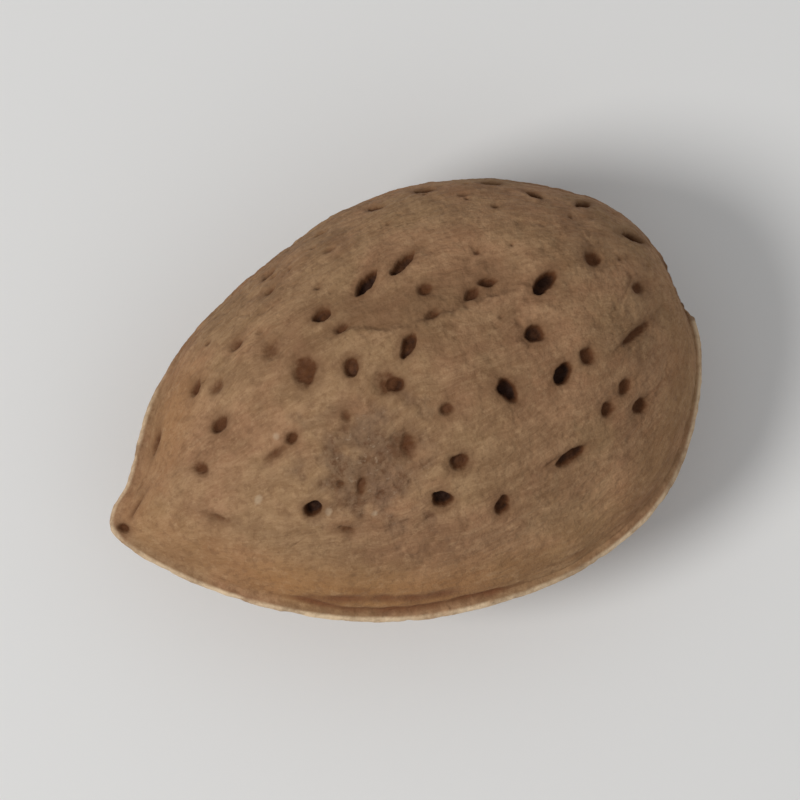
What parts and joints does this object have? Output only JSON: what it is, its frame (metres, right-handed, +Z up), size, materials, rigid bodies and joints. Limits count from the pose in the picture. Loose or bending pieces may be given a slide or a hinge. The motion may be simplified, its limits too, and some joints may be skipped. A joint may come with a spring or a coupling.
{
  "type": "almond in its shell",
  "caption": "Whole almond in its tan shell, lying on a broad face, with a pointed tip, a raised keel seam and dark pits.",
  "frame": {"origin": "middle of the bounding box in plan, at the surface that the nut rests on", "axes": "+X along the longest extent, towards the blunt stem end, with the pointed tip at -X; +Y across the broad face, away from the keel; +Z up, through the thickness"},
  "size_m": [0.0356, 0.0246, 0.0165],
  "materials": {
    "shell": "matte"
  },
  "bodies": {
    "root": {"almond": "shell"}
  },
  "joints": []
}
